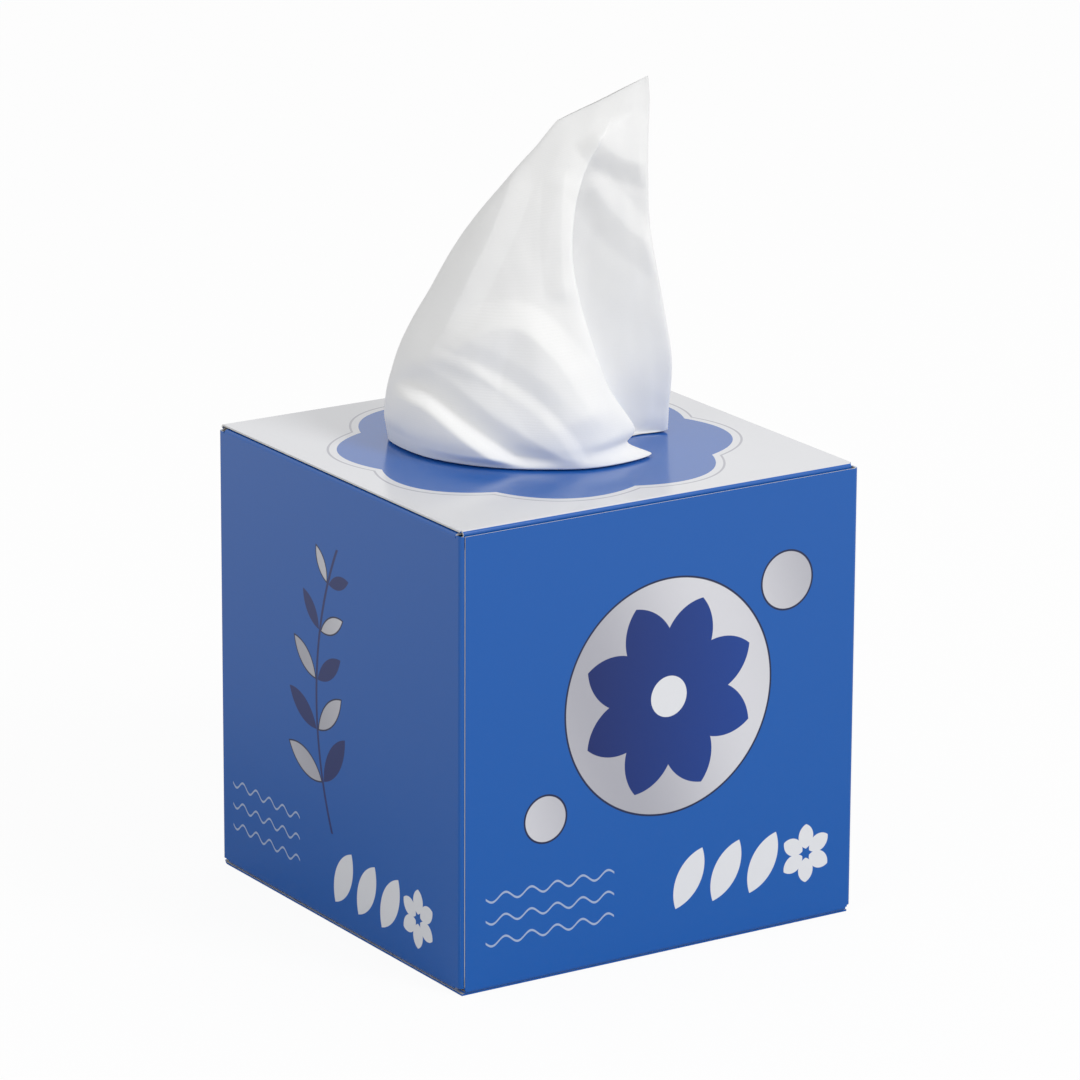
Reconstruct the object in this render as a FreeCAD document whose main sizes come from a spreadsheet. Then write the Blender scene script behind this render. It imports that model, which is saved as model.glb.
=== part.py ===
import FreeCAD, Part
import math
import os
import re

import Sketcher

# A cube box of paper tissues. The carton is one folded and glued sheet of board. Its lid is the
# top panel, hinged on the back wall's top crease and tucked in behind the front wall. A stack of
# interfolded tissues stands in the carton, bent over like an upside-down U, and the first tissue
# stands out of the round opening in the lid.
#
# Frame: millimetres, the origin in the middle of the base, +Z up, -Y the front wall.

os.makedirs("parts", exist_ok=True)
doc = FreeCAD.newDocument("TissueBox")

# Driving sizes
SIZES = {
    # carton
    "width": 115.0,              # outside, along X
    "depth": 114.3,              # outside, along Y
    "height": 116.4,             # base to the top of the closed lid
    "board": 0.45,               # thickness of the folding board
    "crease_radius": 1.1,        # outside of the four upright creases
    "fold_radius": 1.0,          # outside of the folds along the top and the base
    "seam_reveal": 0.15,         # from the end of the front left crease to the front wall's cut edge
    "glue_flap": 14.0,           # glued flap behind the front wall's left edge
    "glue_flap_start": 3.0,      # below the front wall's top edge, where the glue flap starts
    "front_drop": 1.1,           # front wall's cut top edge, below the lid's top
    "shoulder": 2.9,             # from the front and back walls to each dust flap
    "shoulder_slit": 0.3,        # cut between a side wall's corner and the dust flap's fold
    "dust_flap": 24.0,           # reach of the dust flaps over the inside
    "dust_flap_round": 12.0,
    "front_base_flap": 34.0,
    "side_base_flap": 42.0,
    "base_flap_round": 6.0,
    "base_inset": 0.7,           # base panel's edges, in from the walls' outer faces
    "flap_inset": 1.5,           # ends of the other base flaps
    # lid
    "lid_gap": 0.3,              # between the lid and the dust flaps under it
    "lid_inset": 0.9,            # lid's side edges, in from the side walls' outer faces
    "hinge_gap": 0.5,            # between the lid's fold and the back wall's top edge
    "opening": 46.0,             # diameter of the round opening
    "tuck_gap": 0.75,            # between the front wall and the lid's front fold
    "tuck_inset": 1.4,           # ends of the tuck flap, in from the side walls' outer faces
    "tuck_flap": 14.0,
    "tuck_tilt": 5.5,            # degrees that the tuck flap leans inwards
    "tuck_round": 11.0,
    # stack of tissues
    "stack_side_gap": 3.0,
    "stack_end_gap": 4.6,
    "head_room": 17.5,           # lid's underside to the stack's crown
    "pile": 36.0,                # thickness of the bent pile
    # tissue that stands out of the opening
    "sail_height": 93.0,         # above the lid
    "sail_half_width": 35.0,
    "sail_half_depth": 25.0,
    "sail_turn": 32.8,           # degrees, the sail's broad side turns from the front wall to the left
    "neck_gap": 0.4,             # between the tissue and the opening's edge
    "hem_gap": 0.3,              # between the tissue's hem and the lid
    "tail": 13.5,                # how far the tissue reaches down from the lid's top
    "tail_flare": 1.5,
}

sheet = doc.addObject("Spreadsheet::Sheet", "Sizes")
for row, (alias, value) in enumerate(SIZES.items(), 1):
    sheet.set(f"A{row}", alias)
    sheet.set(f"B{row}", str(value))
    sheet.setAlias(f"B{row}", alias)
doc.recompute()


def cells(text):
    """The expression text with each size's name turned into its cell in the sheet."""
    return re.sub(r"[a-z_]+", lambda word: f"Sizes.{word[0]}" if word[0] in SIZES else word[0], text)


# Places that more than one piece uses
LEFT, RIGHT = "-width / 2", "width / 2"
FRONT, BACK = "-depth / 2", "depth / 2"
LID_UNDER = "height - board"
DUST_TOP = "height - board - lid_gap"
SIDE_TOP = "height - board - lid_gap - fold_radius"
FRONT_TOP = "height - front_drop"
BACK_TOP = "height - fold_radius - hinge_gap"
LID_FRONT = "-depth / 2 + board + tuck_gap"
STACK_HALF = "(width / 2 - board - stack_side_gap)"
STACK_BASE = "3 * board"
STACK_CROWN = "(height - board - head_room)"


def new_body(label):
    body = doc.addObject("PartDesign::Body", label.title().replace("_", ""))
    body.Label = label
    return body


def new_sketch(body, role, name, lift=None):
    """An empty sketch on one of the body's own planes, moved along the plane's normal by lift."""
    plane = next(f for f in body.Origin.OriginFeatures if f.Role == role)
    sketch = body.newObject("Sketcher::SketchObject", name)
    sketch.AttachmentSupport = [(plane, "")]
    sketch.MapMode = "FlatFace"
    if lift:
        sketch.setExpression(".AttachmentOffset.Base.z", cells(lift))
    return sketch


def arc_between(start, end, radius):
    """The arc of less than half a turn from start to end, counter-clockwise for a radius > 0."""
    middle = (start + end) / 2
    half = end - start
    rise = math.sqrt(max(radius * radius - half.Length ** 2 / 4, 0))
    side = FreeCAD.Vector(-half.y, half.x, 0).normalize() * math.copysign(rise, radius)
    centre = middle + side
    first, last = (start, end) if radius > 0 else (end, start)
    angles = [math.atan2(p.y - centre.y, p.x - centre.x) for p in (first, last)]
    circle = Part.Circle(centre, FreeCAD.Vector(0, 0, 1), abs(radius))
    return Part.ArcOfCircle(circle, angles[0], angles[1])


def outline(sketch, corners):
    """A closed outline. Each corner is (x, y), or (x, y, radius) where an arc starts there.

    A radius text that starts with a minus sign turns clockwise. All of them are expressions.
    """
    value = lambda text: float(sketch.evalExpression(cells(text)))
    points = [FreeCAD.Vector(value(c[0]), value(c[1]), 0) for c in corners]
    start_of, end_of = [], []
    for i, corner in enumerate(corners):
        a, b = points[i], points[(i + 1) % len(points)]
        if len(corner) == 2:
            index = sketch.addGeometry(Part.LineSegment(a, b), False)
            start_of.append((index, 1))
            end_of.append((index, 2))
            continue
        clockwise = corner[2].startswith("-")
        size = corner[2].lstrip("-")
        radius = value(size)
        index = sketch.addGeometry(arc_between(a, b, -radius if clockwise else radius), False)
        start_of.append((index, 2 if clockwise else 1))
        end_of.append((index, 1 if clockwise else 2))
        key = sketch.addConstraint(Sketcher.Constraint("Radius", index, radius))
        sketch.setExpression(f"Constraints[{key}]", cells(size))
    for i, corner in enumerate(corners):
        edge, vertex = start_of[i]
        sketch.addConstraint(Sketcher.Constraint("Coincident", *end_of[i - 1], edge, vertex))
        for axis, text, place in (("DistanceX", corner[0], points[i].x), ("DistanceY", corner[1], points[i].y)):
            key = sketch.addConstraint(Sketcher.Constraint(axis, -1, 1, edge, vertex, place))
            sketch.setExpression(f"Constraints[{key}]", cells(text))


def pad(body, sketch, name, length, both_ways=False):
    feature = body.newObject("PartDesign::Pad", name)
    feature.Profile = sketch
    feature.Midplane = both_ways
    feature.setExpression("Length", cells(length))
    return feature


def pocket(body, sketch, name, length):
    """Cuts the outline out of the body, half of the length to each side of the sketch."""
    doc.recompute()
    before = body.Shape.Volume
    feature = body.newObject("PartDesign::Pocket", name)
    feature.Profile = sketch
    feature.Midplane = True
    feature.setExpression("Length", cells(length))
    doc.recompute()
    if body.Shape.Volume >= before:
        raise RuntimeError(f"{name} cut nothing")
    return feature


def rectangle(x0, y0, x1, y1):
    return [(x0, y0), (x1, y0), (x1, y1), (x0, y1)]


def fold(body, role, name, wall, side, level, up, length):
    """A quarter turn of board from an upright wall to a flap.

    wall is the wall's outer face and side is "+" or "-", where it lies. level is the flap's outer
    face, and up says whether the flap is at the wall's top.
    """
    inward = "-" if side == "+" else "+"
    down = "-" if up else "+"
    bend = f"{level} {down} fold_radius"
    flat = f"{wall} {inward} fold_radius"
    outer = "fold_radius"
    inner = "(fold_radius - board)"
    turn = "" if (side == "+") == up else "-"
    back = "-" if turn == "" else ""
    sketch = new_sketch(body, role, name + "Section")
    outline(sketch, [
        (wall, bend, turn + outer),
        (flat, level),
        (flat, f"{level} {down} board", back + inner),
        (f"{wall} {inward} board", bend),
    ])
    return pad(body, sketch, name, length, both_ways=True)


# Carton: walls, creases and glue flap as one strip that closes on itself
def make_walls(body):
    sketch = new_sketch(body, "XY_Plane", "WallsPlan")
    cut_edge = f"{LEFT} + crease_radius + seam_reveal"
    near_left = f"{LEFT} + crease_radius"
    near_right = f"{RIGHT} - crease_radius"
    near_front = f"{FRONT} + crease_radius"
    near_back = f"{BACK} - crease_radius"
    seam_bend = f"{FRONT} + board + crease_radius"
    outline(sketch, [
        (cut_edge, FRONT),
        (near_right, FRONT, "crease_radius"),
        (RIGHT, near_front),
        (RIGHT, near_back, "crease_radius"),
        (near_right, BACK),
        (near_left, BACK, "crease_radius"),
        (LEFT, near_back),
        (LEFT, seam_bend, "crease_radius"),
        (near_left, f"{FRONT} + board"),
        (cut_edge, f"{FRONT} + board"),
    ])
    inside = "(crease_radius - board)"
    outline(sketch, [
        (f"{LEFT} + board", seam_bend, inside),
        (near_left, f"{FRONT} + 2 * board"),
        (f"{LEFT} + glue_flap", f"{FRONT} + 2 * board"),
        (f"{LEFT} + glue_flap", f"{FRONT} + board"),
        (near_right, f"{FRONT} + board", inside),
        (f"{RIGHT} - board", near_front),
        (f"{RIGHT} - board", near_back, inside),
        (near_right, f"{BACK} - board"),
        (near_left, f"{BACK} - board", inside),
        (f"{LEFT} + board", near_back),
    ])
    pad(body, sketch, "Walls", "height")


def trim_walls(body):
    """Cuts each wall's top and bottom edge to its own level."""
    above = "height + board"
    below = "-board"
    beyond = {"left": f"{LEFT} - board", "right": f"{RIGHT} + board",
              "front": f"{FRONT} - board", "back": f"{BACK} + board"}
    ends = new_sketch(body, "YZ_Plane", "FrontAndBackLevels")
    front_inside = f"{FRONT} + crease_radius"
    back_inside = f"{BACK} - crease_radius"
    # the side walls' corners, as far as the dust flaps, end level with the front and back walls
    outline(ends, rectangle(beyond["front"], FRONT_TOP, f"{FRONT} + shoulder", above))
    outline(ends, rectangle(f"{BACK} - shoulder", BACK_TOP, beyond["back"], above))
    outline(ends, rectangle(beyond["front"], below, front_inside, "board + fold_radius"))
    outline(ends, rectangle(back_inside, below, beyond["back"], "fold_radius"))
    pocket(body, ends, "FrontAndBackTrim", "2 * width")

    left_inside = f"{LEFT} + crease_radius"
    right_inside = f"{RIGHT} - crease_radius"
    tops = new_sketch(body, "XZ_Plane", "SideTops")
    outline(tops, rectangle(beyond["left"], SIDE_TOP, left_inside, above))
    outline(tops, rectangle(right_inside, SIDE_TOP, beyond["right"], above))
    pocket(body, tops, "SideTopTrim", "depth - 2 * shoulder + 2 * shoulder_slit")

    bases = new_sketch(body, "XZ_Plane", "SideBases")
    side_base = "2 * board + fold_radius"
    outline(bases, rectangle(beyond["left"], below, left_inside, side_base))
    outline(bases, rectangle(right_inside, below, beyond["right"], side_base))
    pocket(body, bases, "SideBaseTrim", "2 * depth")


def trim_glue_flap(body):
    """Slopes the glue flap's two ends, as the die cuts them."""
    sketch = new_sketch(body, "XZ_Plane", "GlueFlapEnds", f"depth / 2 - board - board / 2")
    root = f"{LEFT} + crease_radius"
    tip = f"{LEFT} + glue_flap + board"
    slope = "glue_flap"
    start = f"{FRONT_TOP} - glue_flap_start"
    base = "board + fold_radius"
    outline(sketch, [(root, start), (tip, f"{start} - {slope}"), (tip, FRONT_TOP), (root, FRONT_TOP)])
    outline(sketch, [(root, base), (tip, base), (tip, f"{base} + {slope}"), (root, f"{base} + glue_flap_start")])
    pocket(body, sketch, "GlueFlapTrim", "board")


def round_flap(root, tip, half, rounding, inward):
    """Plan of a flap with its two far corners rounded; root and tip are places across the wall."""
    back = "-" if inward == "+" else "+"
    turn = "" if inward == "+" else "-"
    near_tip = f"{tip} {back} {rounding}"
    return [
        (root, f"-{half}"),
        (near_tip, f"-{half}", turn + rounding),
        (tip, f"-{half} + {rounding}"),
        (tip, f"{half} - {rounding}", turn + rounding),
        (near_tip, half),
        (root, half),
    ]


def make_carton():
    body = new_body("carton")
    make_walls(body)
    trim_walls(body)
    trim_glue_flap(body)

    # dust flaps, folded in under the lid
    dust_half = "(depth / 2 - shoulder)"
    for side, wall, inward, name in (("-", LEFT, "+", "Left"), ("+", RIGHT, "-", "Right")):
        fold(body, "XZ_Plane", f"{name}DustFold", wall, side, DUST_TOP, True, "depth - 2 * shoulder")
        plan = new_sketch(body, "XY_Plane", f"{name}DustPlan", f"{DUST_TOP} - board")
        outline(plan, round_flap(f"{wall} {inward} fold_radius", f"{wall} {inward} dust_flap", dust_half,
                                 "dust_flap_round", inward))
        pad(body, plan, f"{name}DustFlap", "board")

    # base: the back wall's panel outermost, the front wall's flap on it, the side flaps on top
    fold(body, "YZ_Plane", "BaseFold", BACK, "+", "0", False, "width - 2 * base_inset")
    plan = new_sketch(body, "XY_Plane", "BasePlan")
    outline(plan, rectangle(f"{LEFT} + base_inset", f"{FRONT} + base_inset", f"{RIGHT} - base_inset",
                            f"{BACK} - fold_radius"))
    pad(body, plan, "BasePanel", "board")

    fold(body, "YZ_Plane", "FrontBaseFold", FRONT, "-", "board", False, "width - 2 * flap_inset")
    plan = new_sketch(body, "XY_Plane", "FrontBasePlan", "board")
    reach = f"{FRONT} + front_base_flap"
    rounding = "base_flap_round"
    outline(plan, [
        (f"{LEFT} + flap_inset", f"{FRONT} + fold_radius"),
        (f"{RIGHT} - flap_inset", f"{FRONT} + fold_radius"),
        (f"{RIGHT} - flap_inset", f"{reach} - {rounding}", rounding),
        (f"{RIGHT} - flap_inset - {rounding}", reach),
        (f"{LEFT} + flap_inset + {rounding}", reach, rounding),
        (f"{LEFT} + flap_inset", f"{reach} - {rounding}"),
    ])
    pad(body, plan, "FrontBaseFlap", "board")

    base_half = "(depth / 2 - 2 * flap_inset)"
    for side, wall, inward, name in (("-", LEFT, "+", "Left"), ("+", RIGHT, "-", "Right")):
        fold(body, "XZ_Plane", f"{name}BaseFold", wall, side, "2 * board", False,
             "depth - 4 * flap_inset")
        plan = new_sketch(body, "XY_Plane", f"{name}BasePlan", "2 * board")
        outline(plan, round_flap(f"{wall} {inward} fold_radius", f"{wall} {inward} side_base_flap",
                                 base_half, "base_flap_round", inward))
        pad(body, plan, f"{name}BaseFlap", "board")
    return body


# Lid: top panel with the opening, the fold at its hinge and the tuck flap in front
def make_lid():
    body = new_body("lid")
    front = f"{LID_FRONT} + fold_radius"
    back = f"{BACK} - fold_radius"
    plan = new_sketch(body, "XY_Plane", "LidPlan", LID_UNDER)
    outline(plan, rectangle(f"{LEFT} + lid_inset", front, f"{RIGHT} - lid_inset", back))
    hole = plan.addGeometry(Part.Circle(FreeCAD.Vector(0, 0, 0), FreeCAD.Vector(0, 0, 1), 10), False)
    plan.addConstraint(Sketcher.Constraint("Coincident", hole, 3, -1, 1))
    key = plan.addConstraint(Sketcher.Constraint("Diameter", hole, SIZES["opening"]))
    plan.setExpression(f"Constraints[{key}]", cells("opening"))
    pad(body, plan, "TopPanel", "board")

    fold(body, "YZ_Plane", "HingeFold", BACK, "+", "height", True, "width - 2 * lid_inset")

    cosine = "cos(tuck_tilt * 1 deg)"
    sine = "sin(tuck_tilt * 1 deg)"
    bend = "height - fold_radius"
    inner = "(fold_radius - board)"
    section = new_sketch(body, "YZ_Plane", "TuckSection")
    outline(section, [
        (front, "height", "fold_radius"),
        (f"{front} - fold_radius", bend, "fold_radius"),
        (f"{front} - fold_radius * {cosine}", f"{bend} - fold_radius * {sine}"),
        (f"{front} - fold_radius * {cosine} + tuck_flap * {sine}",
         f"{bend} - fold_radius * {sine} - tuck_flap * {cosine}"),
        (f"{front} - {inner} * {cosine} + tuck_flap * {sine}",
         f"{bend} - {inner} * {sine} - tuck_flap * {cosine}"),
        (f"{front} - {inner} * {cosine}", f"{bend} - {inner} * {sine}", f"-{inner}"),
        (f"{front} - {inner}", bend, f"-{inner}"),
        (front, LID_UNDER),
    ])
    pad(body, section, "TuckFlap", "width - 2 * tuck_inset", both_ways=True)

    # far corners of the tuck flap
    corners = new_sketch(body, "XZ_Plane", "TuckCorners", "depth / 2")
    end = f"{bend} - fold_radius * {sine} - tuck_flap * {cosine}"
    for wall, out, inward, turn in ((LEFT, "-", "+", "-"), (RIGHT, "+", "-", "")):
        edge = f"{wall} {inward} tuck_inset"
        outline(corners, [
            (f"{edge} {inward} tuck_round", end, turn + "tuck_round"),
            (edge, f"{end} + tuck_round"),
            (f"{edge} {out} board", f"{end} + tuck_round"),
            (f"{edge} {out} board", f"{end} - board"),
            (f"{edge} {inward} tuck_round", f"{end} - board"),
        ])
    pocket(body, corners, "TuckCornerCut", "depth")
    return body


# Stack of interfolded tissues, bent over like an upside-down U
def make_stack():
    body = new_body("tissue_stack")
    bend = f"{STACK_CROWN} - {STACK_HALF}"
    hollow = f"({STACK_HALF} - pile)"
    section = new_sketch(body, "XZ_Plane", "StackSection")
    outline(section, [
        (STACK_HALF, STACK_BASE),
        (STACK_HALF, bend, STACK_HALF),
        ("0", STACK_CROWN, STACK_HALF),
        (f"-{STACK_HALF}", bend),
        (f"-{STACK_HALF}", STACK_BASE),
        (f"-{hollow}", STACK_BASE),
        (f"-{hollow}", bend, f"-{hollow}"),
        ("0", f"{STACK_CROWN} - pile", f"-{hollow}"),
        (hollow, bend),
        (hollow, STACK_BASE),
    ])
    pad(body, section, "Stack", "depth - 2 * board - 2 * stack_end_gap", both_ways=True)
    return body


# Pulled tissue: its outline at rising heights. Each row is a height as a share of the sail's, then
# twelve corners as shares of its half width and half depth, from the left edge round by the front:
# left edge, cheek, dip, first fold, dip, second fold, front edge, notch, right edge, and three behind
SAIL = [
    (0.00, [(-1.01, 0.16), (-0.75, -0.62), (-0.43, -0.78), (-0.09, -1.00), (0.17, -0.86), (0.43, -0.94),
            (0.80, -0.44), (0.63, 0.24), (0.92, 0.48), (0.51, 0.92), (-0.14, 0.80), (-0.74, 0.76)]),
    (0.13, [(-1.05, 0.12), (-0.86, -0.44), (-0.63, -0.48), (-0.51, -0.72), (-0.11, -0.68), (0.17, -0.92),
            (0.66, -0.44), (0.51, 0.08), (0.94, 0.32), (0.54, 0.84), (-0.11, 0.64), (-0.74, 0.68)]),
    (0.30, [(-0.94, 0.08), (-0.86, -0.24), (-0.74, -0.36), (-0.57, -0.56), (-0.34, -0.68), (0.00, -0.80),
            (0.43, -0.44), (0.34, 0.00), (0.92, 0.16), (0.54, 0.64), (-0.06, 0.48), (-0.66, 0.48)]),
    (0.47, [(-0.69, 0.04), (-0.63, -0.20), (-0.49, -0.36), (-0.31, -0.52), (-0.14, -0.64), (0.06, -0.64),
            (0.29, -0.36), (0.26, 0.00), (0.86, 0.08), (0.54, 0.44), (0.00, 0.32), (-0.49, 0.32)]),
    (0.65, [(-0.38, 0.04), (-0.34, -0.12), (-0.23, -0.24), (-0.09, -0.36), (0.03, -0.44), (0.14, -0.40),
            (0.27, -0.24), (0.29, 0.00), (0.80, 0.04), (0.54, 0.28), (0.09, 0.20), (-0.26, 0.20)]),
    (0.82, [(0.02, 0.02), (0.04, -0.06), (0.11, -0.14), (0.20, -0.20), (0.26, -0.24), (0.31, -0.22),
            (0.37, -0.16), (0.43, -0.04), (0.78, 0.02), (0.57, 0.14), (0.29, 0.12), (0.09, 0.10)]),
    (0.95, [(0.43, 0.01), (0.45, -0.03), (0.49, -0.05), (0.53, -0.07), (0.57, -0.08), (0.61, -0.08),
            (0.66, -0.06), (0.70, -0.03), (0.79, 0.01), (0.69, 0.06), (0.57, 0.06), (0.49, 0.04)]),
    (1.00, [(0.73, 0.00), (0.74, -0.01), (0.745, -0.02), (0.75, -0.02), (0.76, -0.02), (0.77, -0.02),
            (0.775, -0.02), (0.78, -0.01), (0.785, 0.00), (0.77, 0.02), (0.755, 0.02), (0.74, 0.02)]),
]
NECK_CORNERS = 12


def make_tissue():
    body = new_body("pulled_tissue")
    body.Placement = FreeCAD.Placement(FreeCAD.Vector(0, 0, SIZES["height"]),
                                       FreeCAD.Rotation(FreeCAD.Vector(0, 0, 1), -SIZES["sail_turn"]))
    body.setExpression(".Placement.Base.z", cells("height"))
    body.setExpression(".Placement.Rotation.Angle", cells("-sail_turn"))

    rings = []
    for number, (share, corners) in enumerate(SAIL):
        ring = new_sketch(body, "XY_Plane", f"SailRing{number}",
                          f"hem_gap + {share} * (sail_height - hem_gap)")
        outline(ring, [(f"{x} * sail_half_width", f"{y} * sail_half_depth") for x, y in corners])
        rings.append(ring)
    loft = body.newObject("PartDesign::AdditiveLoft", "Sail")
    loft.Profile = rings[0]
    loft.Sections = rings[1:]
    loft.Ruled = True

    # pleated neck in the opening, and the tail that spreads out below it
    neck = "(opening / 2 - neck_gap)"
    necks = []
    for name, level, reach in (("NeckTop", "hem_gap", neck), ("NeckEnd", "-2 * board", neck),
                               ("TailEnd", "-tail", f"({neck} + tail_flare)")):
        ring = new_sketch(body, "XY_Plane", name, level)
        step = 360 / NECK_CORNERS
        outline(ring, [(f"{reach} * cos({step * i} deg)", f"{reach} * sin({step * i} deg)")
                       for i in range(NECK_CORNERS)])
        necks.append(ring)
    tail = body.newObject("PartDesign::AdditiveLoft", "NeckAndTail")
    tail.Profile = necks[0]
    tail.Sections = necks[1:]
    tail.Ruled = True
    return body


pieces = [make_carton(), make_lid(), make_stack(), make_tissue()]
doc.recompute()

for thing in doc.Objects:
    if "Invalid" in thing.State or "Error" in thing.State:
        raise RuntimeError(f"{thing.Label} failed: {thing.State}")
for piece in pieces:
    shape = piece.Shape
    if shape.isNull() or not shape.isValid() or len(shape.Solids) != 1:
        raise RuntimeError(f"{piece.Label} isn't one valid solid")
    box = shape.BoundBox
    print(f"{piece.Label}: {shape.Volume / 1000:.1f} cm3, {box.XLength:.1f} x {box.YLength:.1f} x "
          f"{box.ZLength:.1f} mm, z {box.ZMin:.2f} to {box.ZMax:.2f}")
    shape.exportStep(f"parts/{piece.Label}.step")
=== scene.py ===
# %% [markdown]
# # A cube box of paper tissues
# The box is one folded sheet of glossy printed board. Its lid is tucked in at the front and turns
# on the crease at the back. A pile of interfolded tissues is bent over inside like an upside-down
# U, and the first tissue stands out of the round opening. The board's folds, flaps and cut edges
# are exact shapes, so they come with the frame and only get a finish here. The two soft things,
# the pile and the standing tissue, are made here, because their look is in their folds.

# %% Load the frame
import math

import bmesh
import bpy
import numpy as np
from mathutils import Matrix, Vector, noise


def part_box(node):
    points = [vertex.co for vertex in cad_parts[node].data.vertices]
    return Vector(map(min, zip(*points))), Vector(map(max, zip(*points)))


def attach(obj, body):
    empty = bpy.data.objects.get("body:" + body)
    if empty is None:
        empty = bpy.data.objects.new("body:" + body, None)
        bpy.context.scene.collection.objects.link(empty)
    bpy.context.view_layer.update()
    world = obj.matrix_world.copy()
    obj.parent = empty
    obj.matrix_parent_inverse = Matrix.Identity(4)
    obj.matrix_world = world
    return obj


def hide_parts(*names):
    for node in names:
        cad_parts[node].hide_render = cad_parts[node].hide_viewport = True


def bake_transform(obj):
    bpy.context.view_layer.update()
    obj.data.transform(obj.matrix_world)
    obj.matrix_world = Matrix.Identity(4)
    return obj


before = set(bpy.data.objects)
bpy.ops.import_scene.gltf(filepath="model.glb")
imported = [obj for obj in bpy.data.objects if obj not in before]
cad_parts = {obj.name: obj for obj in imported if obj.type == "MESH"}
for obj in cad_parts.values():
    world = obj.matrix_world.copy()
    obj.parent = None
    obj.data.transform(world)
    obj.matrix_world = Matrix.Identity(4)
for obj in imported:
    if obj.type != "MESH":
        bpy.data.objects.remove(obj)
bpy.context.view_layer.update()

MM = 0.001
lid_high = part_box("lid")[1]
carton_low, carton_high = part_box("carton")
pile_low, pile_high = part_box("tissue_stack")
WIDTH = (carton_high.x - carton_low.x) / MM
DEPTH = (carton_high.y - carton_low.y) / MM
LID_TOP = lid_high.z / MM

# %% [markdown]
# ## Camera
# A product photographer stands well back and uses a long lens, so that a cube's edges stay nearly
# parallel. The camera here has that place and lens: about 1.6 m away, higher than the box, and
# turned towards the front left corner. Three unit vectors give its turn more plainly than three
# angles would: where it looks, what is to its right, and what is up.

# %% Camera
CAMERA_PLACE = Vector((-0.8154, -1.2632, 0.5366))
HEADING = math.radians(57.11)      # from +X towards +Y
TILT = math.radians(-16.49)
ROLL = math.radians(0.27)
LENS = 210.2                       # mm, on a sensor 36 mm wide

level_part = math.cos(TILT)
forward = Vector((level_part * math.cos(HEADING), level_part * math.sin(HEADING), math.sin(TILT)))
rightward = forward.cross(Vector((0, 0, 1))).normalized()
upward = rightward.cross(forward)

camera = bpy.data.objects.new("camera", bpy.data.cameras.new("camera"))
camera.data.lens = LENS
camera.data.sensor_width = 36
turn = Matrix((rightward, upward, -forward)).transposed().to_4x4() @ Matrix.Rotation(ROLL, 4, "Z")
camera.matrix_world = Matrix.Translation(CAMERA_PLACE) @ turn
bpy.context.scene.collection.objects.link(camera)
bpy.context.scene.camera = camera
print(f"camera {CAMERA_PLACE.length:.2f} m from the box's base")

# %% [markdown]
# ## Nodes as arithmetic
# A print's shapes and a board's grain are numbers that change over a surface. In Blender such a
# number is a node's output. Wiring every Math node by hand hides the idea, so this small class
# lets two fields be added or compared with ordinary signs, and each sign makes its node.

# %% A field of numbers
class Field:
    """A number that changes over a surface, held as the output of a node."""

    def __init__(self, tree, socket):
        self.tree = tree
        self.socket = socket

    def apply(self, operation, *others, clamp=False):
        node = self.tree.nodes.new("ShaderNodeMath")
        node.operation = operation
        node.use_clamp = clamp
        for slot, value in zip(node.inputs, (self, *others)):
            if isinstance(value, Field):
                self.tree.links.new(value.socket, slot)
            else:
                slot.default_value = value
        return Field(self.tree, node.outputs[0])

    def __add__(self, other):
        return self.apply("ADD", other)

    def __sub__(self, other):
        return self.apply("SUBTRACT", other)

    def __mul__(self, other):
        return self.apply("MULTIPLY", other)

    def __abs__(self):
        return self.apply("ABSOLUTE")

    def least(self, other):
        return self.apply("MINIMUM", other)

    def most(self, other):
        return self.apply("MAXIMUM", other)

    def above(self, level, blur):
        """1 where the field is over level and 0 where it is under, with a change as wide as blur."""
        return ((self - level) * (1 / blur)).apply("ADD", 0.5, clamp=True)


def reach(across, up):
    """The distance from where both fields are zero."""
    return (across * across + up * up).apply("SQRT")


print("fields ready")

# %% [markdown]
# ## Shapes that ink can fill
# Each shape is a distance in millimetres: below zero inside the ink and above zero outside. Two
# shapes join with the lesser distance, and an outline is where the distance is nearly zero. Such
# shapes stay sharp at any zoom, which a painted picture doesn't.

# %% Ink shapes
def disc(across, up, centre, radius):
    return reach(across - centre[0], up - centre[1]) - radius


def outline_of(shape, width):
    return abs(shape) - width / 2


def turned(across, up, centre, degrees):
    """The two fields seen from centre along a line at that angle, and square to it."""
    cos, sin = math.cos(math.radians(degrees)), math.sin(math.radians(degrees))
    x, y = across - centre[0], up - centre[1]
    return x * cos + y * sin, y * cos - x * sin


def leaf(across, up, centre, degrees, length, width):
    """A pointed leaf: what two equal circles have in common."""
    along, aside = turned(across, up, centre, degrees)
    bow = (length * length / 4 + width * width / 4) / width
    return reach(along, abs(aside) + (bow - width / 2)) - bow


def flower(across, up, centre, petals, inner, outer, width, start=0.0):
    """Petals round a centre. The angle is folded, so that one leaf is drawn and seen many times."""
    along, aside = turned(across, up, centre, start)
    away = reach(along, aside)
    folded = aside.apply("ARCTAN2", along).apply("PINGPONG", math.pi / petals)
    x, y = away * folded.apply("COSINE"), away * folded.apply("SINE")
    return leaf(x, y, ((inner + outer) / 2, 0), degrees=0, length=outer - inner, width=width)


def wave(across, up, centre, length, height, crests, width):
    """A wavy line of that length round centre."""
    x, y = across - centre[0], up - centre[1]
    swing = (x * (2 * math.pi * crests / length)).apply("SINE") * height
    return (abs(y - swing) - width / 2).most(abs(x) - length / 2)


def arc_line(across, up, centre, radius, low, high, width):
    """The stretch of a circle's line between two heights, on the side that bulges to the left."""
    line = abs(disc(across, up, centre, radius)) - width / 2
    stretch = (abs(up - (low + high) / 2) - (high - low) / 2).most(across - centre[0])
    return line.most(stretch)


print("ink shapes ready")

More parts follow.
